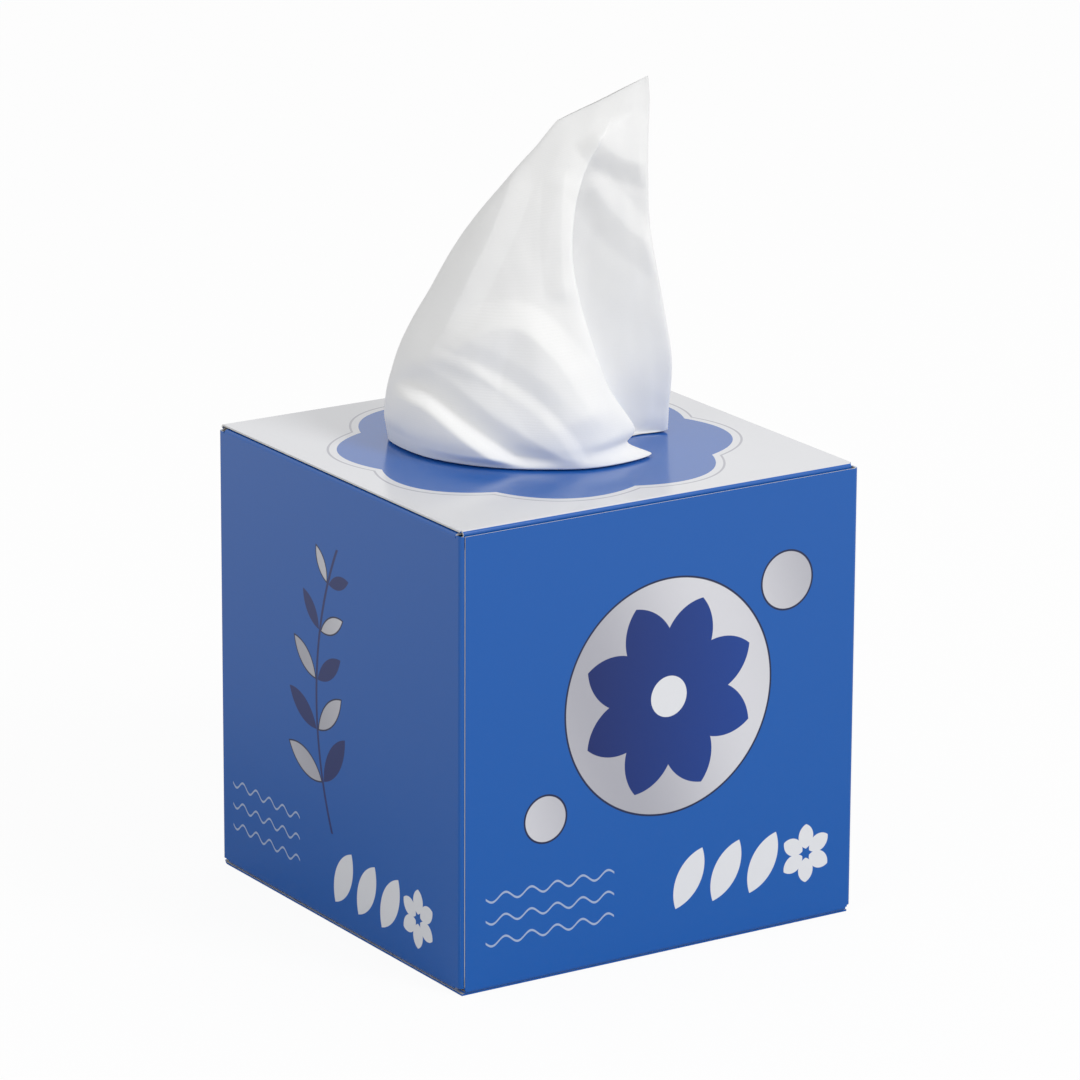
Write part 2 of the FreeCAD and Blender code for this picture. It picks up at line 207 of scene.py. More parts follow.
# %% [markdown]
# ## Materials
# Every finish is a Principled shader. What is the same all over is set on the shader's own
# sockets, and only what really varies, such as colour, roughness and bump, comes from nodes. The
# patterns read Object coordinates: on these pieces they are metres in the box's own frame, so a
# shape can be placed on the board as on a drawing.

# %% Material helpers
def new_finish(name, roughness=0.5):
    material = bpy.data.materials.new(name)
    material.use_nodes = True
    tree = material.node_tree
    shader = tree.nodes["Principled BSDF"]
    shader.inputs["Roughness"].default_value = roughness
    return material, tree, shader


def places(tree):
    """Millimetres along X, Y and Z, the facing direction's three parts, and the coordinate node."""
    source = tree.nodes.new("ShaderNodeTexCoord")
    fields = []
    for output, scale in (("Object", 1 / MM), ("Normal", 1)):
        parts = tree.nodes.new("ShaderNodeSeparateXYZ")
        tree.links.new(source.outputs[output], parts.inputs[0])
        fields.append([Field(tree, parts.outputs[i]) * scale for i in range(3)])
    return fields[0], fields[1], source


def grain(tree, source, size, detail=3.0, stretch=(1, 1, 1)):
    """Cloudy noise whose features are about size millimetres wide, as a field round 0.5."""
    mapping = tree.nodes.new("ShaderNodeMapping")
    mapping.inputs["Scale"].default_value = stretch
    tree.links.new(source.outputs["Object"], mapping.inputs["Vector"])
    cloud = tree.nodes.new("ShaderNodeTexNoise")
    cloud.inputs["Scale"].default_value = 1 / (size * MM)
    cloud.inputs["Detail"].default_value = detail
    tree.links.new(mapping.outputs[0], cloud.inputs["Vector"])
    return Field(tree, cloud.outputs["Fac"])


def mixed(tree, mask, below, over):
    """The colour over where mask is 1, and below where it is 0. Colours are (r, g, b) or sockets."""
    node = tree.nodes.new("ShaderNodeMix")
    node.data_type = "RGBA"
    tree.links.new(mask.socket, node.inputs["Factor"])
    for slot, colour in ((node.inputs[6], below), (node.inputs[7], over)):
        if isinstance(colour, tuple):
            slot.default_value = (*colour, 1)
        else:
            tree.links.new(colour, slot)
    return node.outputs[2]


def emboss(tree, shader, height, depth_mm, strength=1.0):
    """Bump from a height field: 1 in the field stands depth_mm proud."""
    bump = tree.nodes.new("ShaderNodeBump")
    bump.inputs["Strength"].default_value = strength
    bump.inputs["Distance"].default_value = depth_mm * MM
    tree.links.new(height.socket, bump.inputs["Height"])
    tree.links.new(bump.outputs[0], shader.inputs["Normal"])


print("material helpers ready")

# %% [markdown]
# ## Printed board
# The blank is white folding board. Its outer side is printed and varnished: the walls in blue, the
# lid in white, and the blue runs on round the folds. Its inner side and its cut edges are bare,
# duller and a little grey. On the front and the back a silver disc carries a dark flower, and the
# sides carry a slender branch; below them stand fine waves and a white sprig. A designer's print
# has clean edges, so the shapes above are filled with inks; only the petals have a soft shade
# across them, and the silver carries bands of painted reflection.

# %% Inks and layout
BLUE = (0.005, 0.106, 0.435)
DEEP_BLUE = (0.004, 0.018, 0.135)
MIDDLE_BLUE = (0.006, 0.052, 0.300)
OUTLINE_INK = (0.010, 0.020, 0.075)
SILVER_DARK = (0.44, 0.44, 0.49)
# the lighter bands of the silver's painted reflection
SILVER_PAINTED_REFLECTION = (0.72, 0.72, 0.76)
WHITE_INK = (0.80, 0.81, 0.84)
LID_WHITE = (0.735, 0.74, 0.765)
PALE_INK = (0.38, 0.47, 0.66)
BARE_BOARD = (0.78, 0.77, 0.74)
GLOSS, DULL = 0.16, 0.8            # roughness of varnished and of bare board
WALL_MIRROR, LID_MIRROR = 0.42, 0.58   # how much the varnish mirrors on the walls and on the lid
INK_BLUR = 0.10                    # mm, how softly an inked edge ends
VARNISH_DEPTH = 0.22               # mm, from the outer surface to where a cut edge looks bare
CREASE = 1.1                       # mm, the outside radius of the upright creases
BLEED = 3                          # mm, how far the blue runs on past a fold
BASE_FOLD = 2.2                    # mm up from the table, as far as the base's folds go
SEAM_LEFT, SEAM_FRONT = 1.2, 2.4   # mm in from those walls, as far as the crease at the seam goes
# Millimetres across a wall from its middle and up from the table
FLOWER_PLACE, PLATE_RADIUS = (2, 66), 30
SMALL_PLATES = [((36.5, 90), 7.5), ((-33.5, 41), 6.0)]
STEM_CENTRE, STEM_RADIUS = (74.0, 58.0), 84.0
STEM_LOW, STEM_HIGH = 24.0, 98.0
LEAF_PAIRS, FIRST_PAIR, PAIR_STEP = 5, 12, 13.0
LOWEST_LEAF, LEAF_SHRINKS = 17.0, 1.8   # mm long, and how much shorter each next pair is
LEAF_SLIMNESS, LEAF_GAP = 0.36, 0.6     # width by length, and mm from the stem to a leaf's foot


def ink(shape):
    """1 inside the shape and 0 outside."""
    return (shape * -1).above(0, INK_BLUR)


def branch(across, up):
    """A curved stem with pairs of leaves, as (dark ink, silver ink)."""
    stem = arc_line(across, up, STEM_CENTRE, STEM_RADIUS, STEM_LOW, STEM_HIGH, width=0.9)
    dark, silver = None, None
    for i in range(LEAF_PAIRS):
        height = STEM_LOW + FIRST_PAIR + i * PAIR_STEP
        foot = STEM_CENTRE[0] - math.sqrt(STEM_RADIUS ** 2 - (height - STEM_CENTRE[1]) ** 2)
        lean = math.degrees(math.asin((height - STEM_CENTRE[1]) / STEM_RADIUS))
        size = LOWEST_LEAF - LEAF_SHRINKS * i
        for side, spread in ((-1, 142), (1, 38)):
            angle = spread - lean
            middle = size / 2 + LEAF_GAP
            x = foot + math.cos(math.radians(angle)) * middle
            y = height + math.sin(math.radians(angle)) * middle
            blade = leaf(across, up, (x, y), angle, length=size, width=size * LEAF_SLIMNESS)
            if (i + (side > 0)) % 2:
                dark = blade if dark is None else dark.least(blade)
            else:
                silver = blade if silver is None else silver.least(blade)
    return stem.least(dark), silver


def sprig(across, up, left, height):
    """Three plump leaves and a small flower, in a row, of white ink."""
    shape = None
    for offset in (5.5, 16.5, 27.5):
        blade = leaf(across, up, (left + offset, height), degrees=62, length=16.5, width=7.4)
        shape = blade if shape is None else shape.least(blade)
    place = (left + 40.5, height)
    bloom = flower(across, up, place, petals=6, inner=1.2, outer=7.6, width=4.4, start=90)
    return shape.least(bloom)


def waves(across, up, centre, length):
    """Three wavy lines, one over the other."""
    shape = None
    for level in (-5.6, 0.0, 5.6):
        place = (centre[0], centre[1] + level)
        line = wave(across, up, place, length, height=1.0, crests=5, width=0.55)
        shape = line if shape is None else shape.least(line)
    return shape


print("layout ready")

# %% Board of the walls
def wall_print(tree, across, up, main_face):
    """The walls' inks: the disc and flower where main_face is 1, the branch where it is 0."""
    plate = disc(across, up, FLOWER_PLACE, PLATE_RADIUS)
    for place, radius in SMALL_PLATES:
        plate = plate.least(disc(across, up, place, radius))
    # painted reflection: slanting lighter and darker bands on the silver, like a mirrored room
    painted_sheen_and_gloss_noise = ((across + up * 0.35 - 25) * 0.075).apply("SINE") * 0.5 + 0.5
    silver = mixed(tree, painted_sheen_and_gloss_noise, SILVER_DARK, SILVER_PAINTED_REFLECTION)
    shade = ((across - 2) * 0.02).apply("ADD", 0.5, clamp=True)
    petal_blue = mixed(tree, shade, DEEP_BLUE, MIDDLE_BLUE)
    petals = flower(
        across, up, FLOWER_PLACE, petals=8, inner=3.5, outer=25.5, width=13.5, start=22.5)
    flower_centre = disc(across, up, FLOWER_PLACE, radius=5.2)

    front = mixed(tree, ink(plate), BLUE, silver)
    front = mixed(tree, ink(outline_of(plate, 0.5)), front, OUTLINE_INK)
    front = mixed(tree, ink(petals), front, petal_blue)
    front = mixed(tree, ink(flower_centre), front, WHITE_INK)
    front = mixed(tree, ink(waves(across, up, (-32, 18), 37)), front, PALE_INK)
    front = mixed(tree, ink(sprig(across, up, 3, 18)), front, WHITE_INK)

    dark, light = branch(across, up)
    side = mixed(tree, ink(dark), BLUE, DEEP_BLUE)
    side = mixed(tree, ink(light), side, silver)
    side = mixed(tree, ink(outline_of(light, 0.4)), side, OUTLINE_INK)
    side = mixed(tree, ink(waves(across, up, (-35, 18), 33)), side, PALE_INK)
    side = mixed(tree, ink(sprig(across, up, -3, 14)), side, WHITE_INK)
    return mixed(tree, main_face, side, front)


def finish_board(tree, shader, source, printed, colour, mirror):
    """Gloss and colour where printed is 1, bare fibrous board where it is 0."""
    fibre = grain(tree, source, 1.2, detail=6)
    bare = mixed(tree, fibre, tuple(c * 0.90 for c in BARE_BOARD), BARE_BOARD)
    surface = mixed(tree, printed, bare, colour)
    tree.links.new(surface, shader.inputs["Base Color"])
    shader.inputs["Specular IOR Level"].default_value = mirror
    painted_sheen_and_gloss_noise = grain(tree, source, 14, detail=2)
    roughness = printed * (GLOSS - DULL) + DULL + (painted_sheen_and_gloss_noise - 0.5) * 0.06
    tree.links.new(roughness.socket, shader.inputs["Roughness"])
    flutter = grain(tree, source, 55, detail=1.0) * 5 + fibre * 0.04
    emboss(tree, shader, flutter, 0.05, strength=0.5)


def wall_material():
    material, tree, shader = new_finish("printed_wall_board")
    (x, y, z), (facing_x, facing_y, facing_z), source = places(tree)
    past_x = abs(x) - (WIDTH / 2 - CREASE)
    past_y = abs(y) - (DEPTH / 2 - CREASE)
    # distance to the walls' outer surface, negative inside
    depth_in = reach(past_x.most(0), past_y.most(0)) - CREASE + past_x.most(past_y).least(0)
    outer_side = depth_in.above(-VARNISH_DEPTH, 0.04)
    # behind the front wall's left edge the crease stands back by the board's thickness
    set_back = (
        (x * -1).above(WIDTH / 2 - SEAM_LEFT, 0.03)
        * (y * -1).above(DEPTH / 2 - SEAM_FRONT, 0.03)
        * depth_in.above(-0.6, 0.05)
    )
    near_side = (abs(x) - (WIDTH / 2 - BLEED)).above(0, 0.1)
    near_front = (abs(y) - (DEPTH / 2 - BLEED)).above(0, 0.1)
    # over the folds of the dust flaps
    top_bleed = (
        near_side
        * z.above(LID_TOP - BLEED, 0.1)
        * facing_z.above(0.05, 0.05)
        * (abs(y) * -1).above(-(DEPTH / 2 - 2), 0.1)
    )
    # round the folds at the base
    side_fold = near_side * (x.apply("SIGN") * facing_x).most(facing_z * -1).above(0.05, 0.05)
    main_fold = near_front * (y.apply("SIGN") * facing_y).most(facing_z * -1).above(0.05, 0.05)
    base_bleed = side_fold.most(main_fold) * (z * -1).above(-BASE_FOLD, 0.1)
    printed = outer_side.most(top_bleed).most(set_back).most(base_bleed)
    main_face = (abs(facing_y) - abs(facing_x)).above(0, 0.02)
    across_main = x * facing_y.apply("SIGN") * -1
    across_side = y * facing_x.apply("SIGN")
    across = across_main * main_face + across_side * (main_face * -1 + 1)
    finish_board(tree, shader, source, printed, wall_print(tree, across, z, main_face), WALL_MIRROR)
    return material


WALL_BOARD = wall_material()
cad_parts["carton"].data.materials.clear()
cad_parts["carton"].data.materials.append(WALL_BOARD)
print(f"wall board: {len(WALL_BOARD.node_tree.nodes)} nodes")

# %% [markdown]
# ## The lid's board
# The lid is white outside, with a blue rosette and a thin silver line round the opening. The blue
# of the walls runs up over the front and back folds by a fraction of a millimetre. Under the lid
# the board is bare.

# %% Board of the lid
ROSETTE_REACH, SCALLOP = 44.5, 5.0  # mm, to the notches, and how far a scallop swells past them
RING_APART = 2.2                   # mm, from the rosette to the silver line
LID_FOLD, TUCK_REACH = 3.2, 4.5    # mm in from the walls, as far as the folds and the tuck flap go
FACE_DEPTH = 0.12                  # mm, what lies this near the lid's top is its printed face
BLUE_DEPTH = 0.16                  # mm under the lid's top, as far up as the walls' blue runs


def lid_material():
    material, tree, shader = new_finish("printed_lid_board")
    (x, y, z), (_, facing_y, facing_z), source = places(tree)
    top_face = z.above(LID_TOP - FACE_DEPTH, 0.04)
    fold_zone = (abs(y) - (DEPTH / 2 - LID_FOLD)).above(0, 0.1)
    fold_outside = fold_zone * (abs(facing_y) + facing_z).above(0.3, 0.1)
    tuck_zone = (y * -1).above(DEPTH / 2 - TUCK_REACH, 0.1)
    tuck_outside = tuck_zone * (facing_y * -1).above(0.5, 0.1)
    outside = top_face.most(tuck_outside).most(fold_outside)
    angle = y.apply("ARCTAN2", x)
    scallops = abs((angle * 4).apply("SINE")) * SCALLOP + ROSETTE_REACH
    rosette = reach(x, y) - scallops
    colour = mixed(tree, ink(rosette), LID_WHITE, BLUE)
    colour = mixed(tree, ink(outline_of(rosette - RING_APART, 0.6)), colour, SILVER_DARK)
    colour = mixed(tree, (z * -1).above(-(LID_TOP - BLUE_DEPTH), 0.05), colour, BLUE)
    finish_board(tree, shader, source, outside, colour, LID_MIRROR)
    return material


LID_BOARD = lid_material()
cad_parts["lid"].data.materials.clear()
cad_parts["lid"].data.materials.append(LID_BOARD)
print(f"lid board: {len(LID_BOARD.node_tree.nodes)} nodes")

# %% [markdown]
# ## The crease behind the lid
# On the real blank the lid and the back wall are one piece, so no slit shows between them. The
# frame keeps a slit of half a millimetre there for the motion. This thin strip of board closes it.

# %% Hinge crease
BOARD = 0.45                       # mm thick
SLIT_LOW, SLIT_HIGH = LID_TOP - 1.5, LID_TOP - 1.0
STRIP_LENGTH = WIDTH - 2.4


def make_hinge_crease():
    mesh = bmesh.new()
    bmesh.ops.create_cube(mesh, size=1)
    tall = SLIT_HIGH - SLIT_LOW
    bmesh.ops.scale(mesh, verts=mesh.verts, vec=(STRIP_LENGTH * MM, BOARD * MM, tall * MM))
    upright = [e for e in mesh.edges if abs((e.verts[0].co - e.verts[1].co).z) > tall * MM / 2]
    bmesh.ops.subdivide_edges(mesh, edges=upright, cuts=5, use_grid_fill=True)
    centre = (0, (DEPTH - BOARD) / 2 * MM, (SLIT_LOW + SLIT_HIGH) / 2 * MM)
    bmesh.ops.translate(mesh, verts=mesh.verts, vec=centre)
    piece = bpy.data.objects.new("hinge_crease", bpy.data.meshes.new("hinge_crease"))
    mesh.to_mesh(piece.data)
    mesh.free()
    bpy.context.scene.collection.objects.link(piece)
    piece.data.materials.append(WALL_BOARD)
    return piece


hinge_crease = make_hinge_crease()
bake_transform(hinge_crease)
print(f"hinge crease {STRIP_LENGTH:.1f} mm long")

# %% [markdown]
# ## Tissue paper
# Tissue is soft, matt and thin enough to glow a little where light comes through. Close up it is
# creped: fine ripples run across it. The ripples are far smaller than a fold, so they are bump,
# laid along the sheet's own map, and the folds are real shape.

# %% Tissue finish
TISSUE_WHITE = (0.91, 0.91, 0.905)
CREPE_PITCH = 0.9                  # mm from ripple to ripple


def tissue_material():
    material, tree, shader = new_finish("creped_tissue", roughness=0.95)
    shader.inputs["Specular IOR Level"].default_value = 0.15
    shader.inputs["Subsurface Weight"].default_value = 0.25
    shader.inputs["Subsurface Radius"].default_value = (1, 1, 1)
    shader.inputs["Subsurface Scale"].default_value = 2.5 * MM
    source = tree.nodes.new("ShaderNodeTexCoord")
    parts = tree.nodes.new("ShaderNodeSeparateXYZ")
    tree.links.new(source.outputs["UV"], parts.inputs[0])
    along = Field(tree, parts.outputs[1]) * (1 / MM)
    fuzz = grain(tree, source, 0.8, detail=5)
    ripple = (along * (2 * math.pi / CREPE_PITCH) + fuzz * 5).apply("SINE")
    emboss(tree, shader, ripple * 0.3 + fuzz * 1.2, 0.05, strength=0.25)
    cloud = grain(tree, source, 9, detail=4)
    colour = mixed(tree, cloud, tuple(c * 0.985 for c in TISSUE_WHITE), TISSUE_WHITE)
    tree.links.new(colour, shader.inputs["Base Color"])
    return material


TISSUE = tissue_material()
print("tissue finish ready")

# %% [markdown]
# ## The pile
# A cube box holds some sixty folded tissues, bent over so that the pile fills the box and its
# crown lifts the next tissue to the opening. From the front and the back one sees the edges of
# the layers. The section across the pile is drawn once, with small teeth for the layers' edges,
# and swept: up one leg, round the crown with a spin, and down the other leg.

# %% Pile of tissues
PILE_THICK = 36.0                  # mm
LAYERS = 40                        # teeth across the pile
LAYER_TOOTH = 0.45                 # mm, how far one layer's edge stands out
LEG_STEPS, CROWN_STEPS = 6, 48


def make_pile():
    half = (pile_high.x - pile_low.x) / 2 / MM
    front, back = pile_low.y / MM, pile_high.y / MM
    foot, crown = pile_low.z / MM, pile_high.z / MM
    bend = crown - half
    inner = half - PILE_THICK
    mesh = bmesh.new()
    pitch = PILE_THICK / LAYERS
    rim = []
    for end, sign in ((front, 1), (back, -1)):
        edge = []
        for i in range(LAYERS):
            wander = noise.noise(Vector((i * 1.7, end, 0))) * 0.4
            for step, tooth in ((0.1, LAYER_TOOTH), (0.5, 0.0), (0.9, LAYER_TOOTH)):
                depth = tooth + abs(wander) * (step == 0.5)
                edge.append((inner + (i + step) * pitch, end + sign * depth))
        rim += edge if sign > 0 else edge[::-1]
    ring = [mesh.verts.new((x * MM, y * MM, foot * MM)) for x, y in rim]
    edges = [mesh.edges.new((a, b)) for a, b in zip(ring, ring[1:] + ring[:1])]
    mesh.faces.new(ring)

    def lift(loop, distance):
        """One leg: the section is drawn out in steps along Z, and its newest edges come back."""
        for _ in range(LEG_STEPS):
            grown = bmesh.ops.extrude_edge_only(mesh, edges=loop)["geom"]
            points = [g for g in grown if isinstance(g, bmesh.types.BMVert)]
            bmesh.ops.translate(mesh, verts=points, vec=(0, 0, distance / LEG_STEPS * MM))
            loop = [g for g in grown if isinstance(g, bmesh.types.BMEdge)
                    and all(v in points for v in g.verts)]
        return loop

    loop = lift(edges, bend - foot)
    swept = bmesh.ops.spin(mesh, geom=loop, cent=(0, 0, bend * MM), axis=(0, -1, 0), angle=math.pi,
                           steps=CROWN_STEPS)["geom_last"]
    loop = lift([g for g in swept if isinstance(g, bmesh.types.BMEdge)], foot - bend)
    bmesh.ops.contextual_create(mesh, geom=loop)
    bmesh.ops.remove_doubles(mesh, verts=mesh.verts, dist=0.001 * MM)
    bmesh.ops.recalc_face_normals(mesh, faces=mesh.faces)
    for v in mesh.verts:
        soft = noise.noise(v.co * 45) * 0.5 + noise.noise(v.co * 140) * 0.16
        inward = Vector((v.co.x, 0, max(v.co.z - bend * MM, 0))).normalized()
        v.co -= inward * abs(soft) * MM
    piece = bpy.data.objects.new("tissue_pile", bpy.data.meshes.new("tissue_pile"))
    for face in mesh.faces:
        face.smooth = False
    mesh.to_mesh(piece.data)
    mesh.free()
    bpy.context.scene.collection.objects.link(piece)
    piece.data.materials.append(TISSUE)
    return piece


tissue_pile = make_pile()
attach(tissue_pile, "box")
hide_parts("tissue_stack")
print(f"pile: {len(tissue_pile.data.polygons)} faces")

# %% [markdown]
# ## The standing tissue
# A corner of the first tissue stands up like a sail and narrows to its tip. It is one sheet that
# wraps round: it starts behind, comes round the left side, crosses the front, folds back sharply,
# and goes on as the darker layer at the right, until it ends behind again, over its own start.
# Simulated cloth would give other folds at every try, so the sheet is laid from given rows. Each
# row below is the sheet seen from above at one height. Its points are millimetres to the right and
# away from the camera, and the surface runs smoothly through them.

# %% The sheet's rows
SAIL_TURN = math.radians(-32.8)    # the sail's broad side, from +X
# Each row: its height at the left and at the right, then its points in four parts: behind, from
# the inner edge to the left side; the front, to the sharp fold; the hollow, to the right side; and
# behind again, to the outer edge
ROWS = [
    (0.7, 0.7, [
        (8, 21.1), (-8, 21.4), (-22, 19), (-33, 12), (-36.6, 3.3),
        (-33.5, -5.9), (-25.9, -15.7), (-14, -22.5), (0, -25.2), (15.8, -23.2), (28.6, -11.3),
        (19, -4), (19.5, 7), (28, 9.6), (33, 11.5),
        (27, 19), (10, 22.5), (-6, 22.8)]),
    (3.8, 3.8, [
        (7.5, 20.2), (-8, 20.4), (-22.5, 17.9), (-33.5, 11.1), (-37, 2.9),
        (-34, -6), (-26.8, -15.8), (-15, -22.7), (-1, -25.8), (12.5, -24.6), (22.6, -12.8),
        (16.8, -4.5), (19.7, 6.3), (28.5, 8.9), (33.1, 10.7),
        (27, 18.3), (9.5, 21.6), (-6.5, 21.8)]),
    (8, 8, [
        (7, 19.1), (-8, 19.1), (-23, 16.5), (-34, 10), (-37.4, 2.5),
        (-34.5, -6), (-27.5, -15), (-16, -22), (-2, -25.6), (12, -24.6), (24.2, -13.8),
        (17, -5), (20, 5.5), (29, 8.2), (33.2, 9.8),
        (27, 17.5), (9, 20.5), (-7, 20.5)]),
    (17, 18, [
        (6, 16.2), (-8, 16.2), (-22, 13.5), (-32.5, 8.5), (-36, 2),
        (-33.5, -5), (-27, -12.2), (-17, -18.4), (-5, -22.4), (7, -22.8), (18.5, -16.4),
        (9, -5), (17, 3.5), (28.5, 5.6), (33.7, 7),
        (27, 14.5), (9, 17.5), (-6, 17.5)]),
    (27, 29, [
        (7, 12.8), (-6, 12.6), (-19, 10.8), (-29, 6.8), (-32.6, 1.5),
        (-30.5, -4.2), (-24.5, -9.8), (-16, -14.8), (-6, -18.4), (4, -19.3), (14.3, -16.3),
        (4, -5), (13.5, 2), (27, 3.6), (32.6, 4.6),
        (26, 11.5), (10, 14), (-4, 13.8)]),
    (37, 41, [
        (8, 9.9), (-4, 9.7), (-15, 8.4), (-24, 5.4), (-27.4, 1.2),
        (-25.5, -3.5), (-20.5, -8), (-13, -12), (-5, -14.8), (3, -16), (11, -14.5),
        (2, -5), (11, 0.6), (25, 1.8), (30.6, 2.8),
        (24.5, 8.5), (10, 11), (-2, 10.8)]),
    (47, 54, [
        (9, 7.2), (-1.5, 7), (-10.5, 6.2), (-18.5, 4.2), (-21.8, 1),
        (-20, -3), (-16, -6.6), (-10, -9.8), (-3.5, -12), (3, -13), (8.8, -12),
        (2.5, -4.5), (10, -0.8), (23, 0.4), (28.1, 1.4),
        (22.5, 6), (10, 8.2), (0, 8)]),
    (57, 67, [
        (10, 4.4), (2, 4.8), (-5, 4.4), (-12.4, 3.2), (-15.4, 0.8),
        (-14, -2.4), (-10.8, -5), (-6, -7.3), (-1, -8.9), (4.5, -9.6), (9.4, -8.8),
        (6, -4.5), (11.5, -2.4), (22, -1), (27.5, 0.4),
        (21.5, 3.8), (10.5, 5.4), (2.5, 5.4)]),
    (66, 78, [
        (11.5, 2.6), (5, 2.9), (-0.5, 2.7), (-6, 2), (-8.2, 0.6),
        (-7, -1.6), (-4.5, -3.2), (-1, -4.6), (3, -5.8), (8, -6.4), (12.8, -6),
        (13.2, -4.6), (15.5, -3.6), (22.5, -1.8), (27.3, 0.2),
        (21.5, 2.2), (12, 3.2), (5.5, 3.2)]),
    (74, 87, [
        (14.5, 1.2), (9, 1.3), (4.5, 1.2), (0.2, 0.9), (-1.4, 0.3),
        (-0.5, -0.8), (1.5, -1.6), (4.5, -2.3), (8, -2.8), (12.5, -2.9), (17, -2.6),
        (18.3, -2.4), (20, -2.1), (24, -1.2), (27.5, 0.1),
        (22.5, 1), (15, 1.5), (9.5, 1.5)]),
    (81.8, 93.1, [
        (18, 0.3), (13, 0.3), (9, 0.3), (6.2, 0.2), (4.8, 0.1),
        (5.5, -0.2), (7, -0.35), (9.5, -0.5), (12.5, -0.6), (16, -0.7), (19.5, -0.7),
        (21, -0.6), (22.5, -0.5), (25, -0.3), (27, 0),
        (24, 0.25), (18.5, 0.4), (13.5, 0.4)]),
]
LEFT_SIDE, SHARP_FOLD, RIGHT_SIDE = 4, 10, 14     # places of those points in a row
# Degrees round the neck at which each point of a row passes down through the opening
NECK_TURNS = [60, 97, 130, 155, 175, 193, 213, 240, 270, 300, 327, 345, 360, 372, 384, 402, 430, 462]
# Below the lid the sheet spreads out and folds under itself twice: half widths along X and Y, and
# the height from the lid's top
TAIL = [(22.4, 22.4, -0.9), (22.2, 22.4, -2.6), (23.5, 25, -4.6), (27, 33, -6.0), (29.3, 43, -6.6),
        (29.6, 47.5, -8.2), (29, 46.5, -9.9), (24, 35, -10.3), (16, 21, -9.9), (13, 16, -11.4),
        (16, 21, -13.2), (24, 35, -13.7), (28.5, 44, -13.6)]
SPREAD = 18                        # mesh steps between two neighbouring points of a row
CLIMB = 16                         # mesh steps between two rows
TAIL_STEPS = 6                     # mesh steps between two lines of the tail
print(f"{len(ROWS)} rows of {len(ROWS[0][2])} points, {len(TAIL)} tail rows")

# %% [markdown]
# A Catmull-Rom spline passes through its points and needs no handles, so it suits rows that are
# drawn as plain points. It runs first along each row and then from row to row.

# %% Smooth surface through the rows
def smooth_through(points, steps):
    """Catmull-Rom through points along the first axis of an array, with steps to each span."""
    points = np.asarray(points, float)
    before = 2 * points[:1] - points[1:2]
    after = 2 * points[-1:] - points[-2:-1]
    padded = np.concatenate([before, points, after])
    made = []
    for i in range(len(points) - 1):
        a, b, c, d = padded[i:i + 4]
        for t in np.arange(steps) / steps:
            made.append(0.5 * (2 * b + (c - a) * t + (2 * a - 5 * b + 4 * c - d) * t ** 2
                               + (3 * b - a - 3 * c + d) * t ** 3))
    made.append(points[-1])
    return np.array(made)


def sail_rows():
    """The part above the lid, as an array of rows of (right, away, up) in millimetres."""
    rows = []
    for left_height, right_height, points in ROWS:
        across = np.array(points, float)
        left, right = across[LEFT_SIDE, 0], across[RIGHT_SIDE, 0]
        share = (across[:, 0] - left) / (right - left)
        height = left_height + (right_height - left_height) * share
        rows.append(np.column_stack([across, height]))
    finer = np.array([smooth_through(row, SPREAD) for row in rows])
    return smooth_through(finer, CLIMB)


def ring_directions():
    """The neck's direction at each mesh column, as angles in the sail's frame."""
    return np.radians(smooth_through(np.array(NECK_TURNS, float)[:, None], SPREAD)[:, 0])


sail = sail_rows()
print(f"sail grid {sail.shape[0]} x {sail.shape[1]}")

# %% [markdown]
# ## Folds
# A fold is a ridge or a dent along a line on the sheet. It has one slope above the line and another
# below, with a crisp edge between them, and it fades out at both ends. The lines are placed as the
# camera sees them: millimetres right of the opening's centre and up the picture. Most of them
# move the front layer only, and two cross the tip and the hollow.

# %% Folds on the front layer
LOOK_DOWN = 0.296                  # how much a point 1 mm nearer the camera seems lower
HEM_FADE = (0.7, 3.5)              # mm over the lid: no folds below, full folds above
END_FADE = 0.14                    # share of a fold's line over which it fades out
CRISP = 0.75                       # how straight a fold's slopes are, the rest being rounded
# Each fold: its line, its height towards the camera, and how wide it is above and below the line
FOLDS = [
    ([(-24, 17), (-20, 23), (-13, 28.5), (-5.5, 29.5), (0.5, 26), (8, 17), (13, 9), (17.5, 1)],
     2.5, 6.5, 16.4),
    ([(-27, 26.5), (-11.4, 18.5), (1, 10), (8.5, 2.6), (13.5, -6), (16, -12)], -0.8, 5, 3),
    ([(-37, 14), (-26.5, 8.4), (-16.3, -0.2), (-2.6, -9.4), (6, -14)], 2.0, 2.0, 9),
    ([(-36, 17), (-25.5, 11.4), (-15.3, 3), (-2, -6), (7, -11)], -2.5, 6, 2.0),
    ([(-4, 72), (-11, 54), (-17, 41), (-23, 28), (-31, 15)], 1.3, 6, 6),
    ([(7, 70), (6.2, 60), (6, 50), (7.5, 34)], 0.8, 5, 5),
]
# The same on the hollow at the right and on the tip
TIP_FOLDS = [
    ([(13.5, 80), (15.5, 77), (18.5, 74), (23, 72), (34, 69)], 1.9, 12, 6),
    ([(12, 68.5), (15, 64), (19, 59), (24.2, 54), (34, 47)], 1.2, 5, 7),
]


def ramp(values, low, high):
    t = np.clip((values - low) / (high - low), 0, 1)
    return t * t * (3 - 2 * t)


